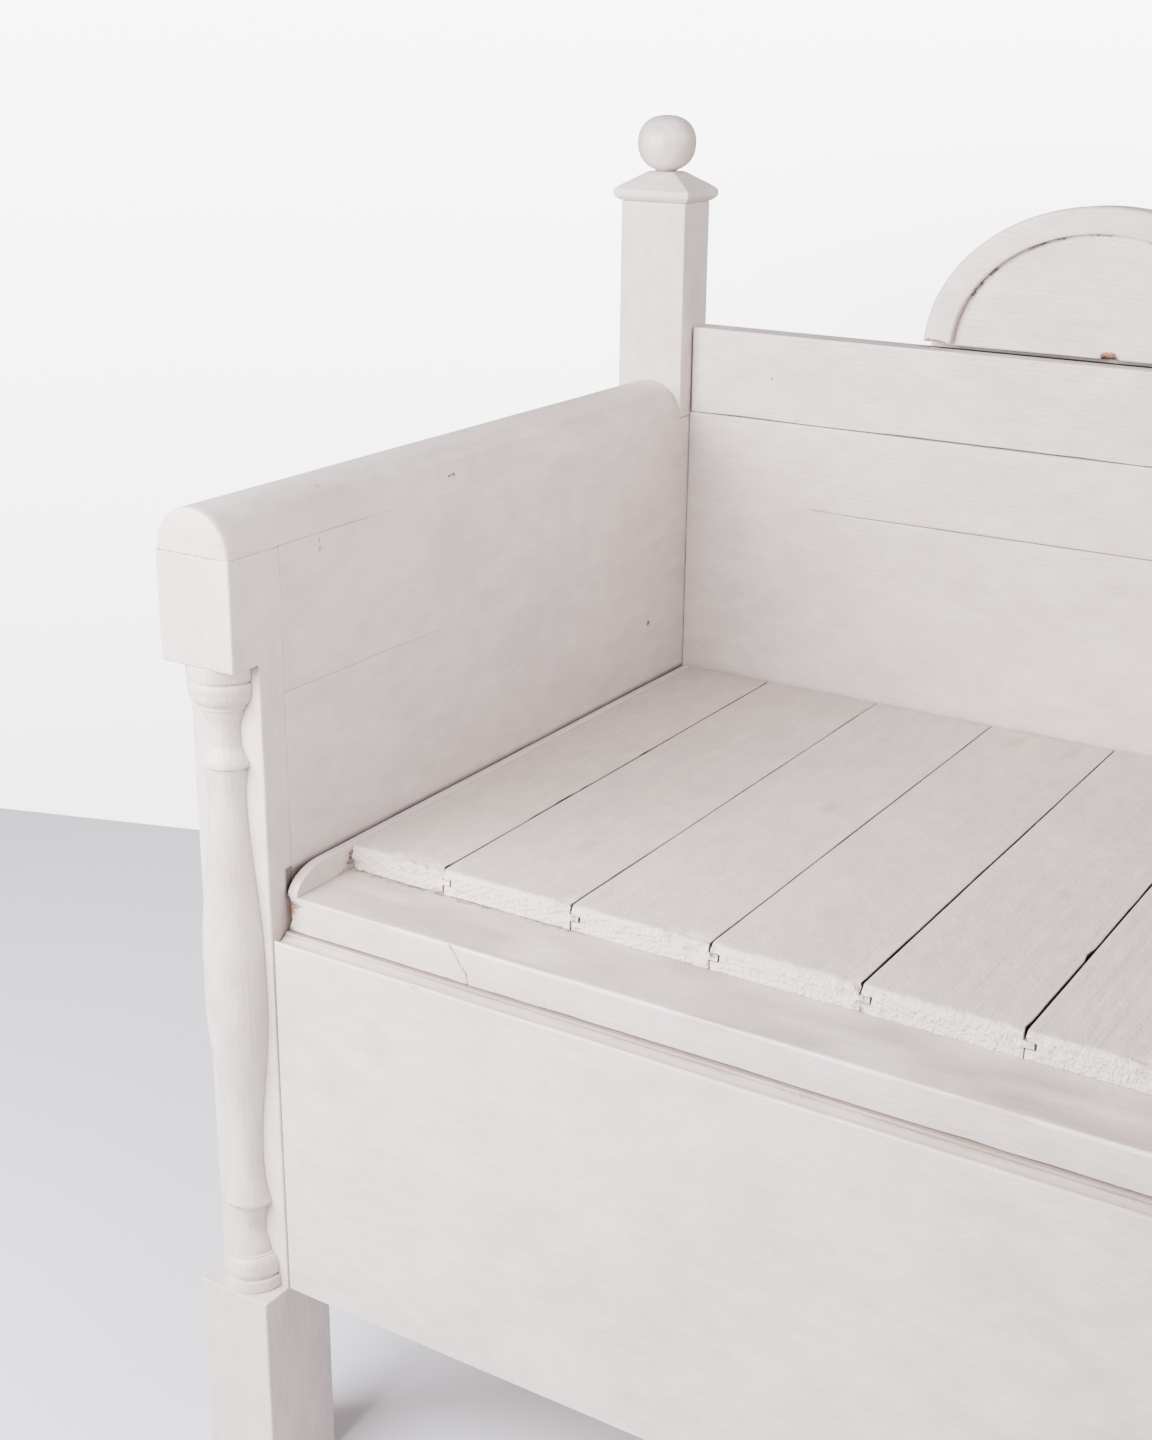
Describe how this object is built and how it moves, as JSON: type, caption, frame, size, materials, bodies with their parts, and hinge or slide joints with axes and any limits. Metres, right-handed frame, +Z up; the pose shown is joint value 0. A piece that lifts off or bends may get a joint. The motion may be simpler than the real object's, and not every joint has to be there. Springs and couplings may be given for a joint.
{
  "type": "storage bench",
  "caption": "Short painted pine settle with a lift-up boarded seat over a storage box, solid arms and an arched, boarded back.",
  "frame": {"origin": "on the floor, in the middle of the footprint's bounding box", "axes": "+X along the bench, to the right of someone facing it; -Y is the front, where a sitter's legs are; +Z up"},
  "size_m": [0.805, 0.613, 0.9448],
  "materials": {
    "paint": "brushed eggshell paint over pine, worn to the wood on a few edges",
    "bare_pine": "unpainted, aged and dry",
    "iron": "dull, dark"
  },
  "bodies": {
    "bench": {"front_post_left": "paint", "front_post_right": "paint", "back_post_left": "paint", "back_post_right": "paint", "post_cap_left": "paint", "post_cap_right": "paint", "ball_finial_left": "paint", "ball_finial_right": "paint", "half_column_left": "paint", "half_column_right": "paint", "arm_rail_left": "paint", "arm_rail_right": "paint", "side_board_left_1": "paint", "side_board_left_2": "paint", "side_board_left_3": "paint", "side_board_left_4": "paint", "side_board_right_1": "paint", "side_board_right_2": "paint", "side_board_right_3": "paint", "side_board_right_4": "paint", "back_board_1": "paint", "back_board_2": "paint", "back_board_3": "paint", "back_board_4": "paint", "crest_rail": "paint", "arch_board": "paint", "arch_rim": "paint", "front_panel": "paint", "floor_board_1": "bare_pine", "floor_board_2": "bare_pine", "floor_board_3": "bare_pine", "floor_board_4": "bare_pine", "floor_batten_left": "bare_pine", "floor_batten_right": "bare_pine", "lid_ledge_left": "paint", "lid_ledge_right": "paint", "pivot_pin_left": "iron", "pivot_pin_right": "iron", "arch_screws": "iron", "side_board_nails": "iron"},
    "lid": {"seat_board_1": "paint", "seat_board_2": "paint", "seat_board_3": "paint", "seat_board_4": "paint", "seat_board_5": "paint", "seat_board_6": "paint", "seat_board_7": "paint", "lid_front_rail": "paint", "lid_back_rail": "paint", "lid_end_strip_left": "paint", "lid_end_strip_right": "paint", "lid_screws": "iron"}
  },
  "joints": [
    {"name": "lid_hinge", "type": "hinge", "parent": "bench", "child": "lid", "pos_m": [0, 0.2475, 0.476], "axis": [-1, 0, 0], "range_deg": [0, 88.5]}
  ]
}
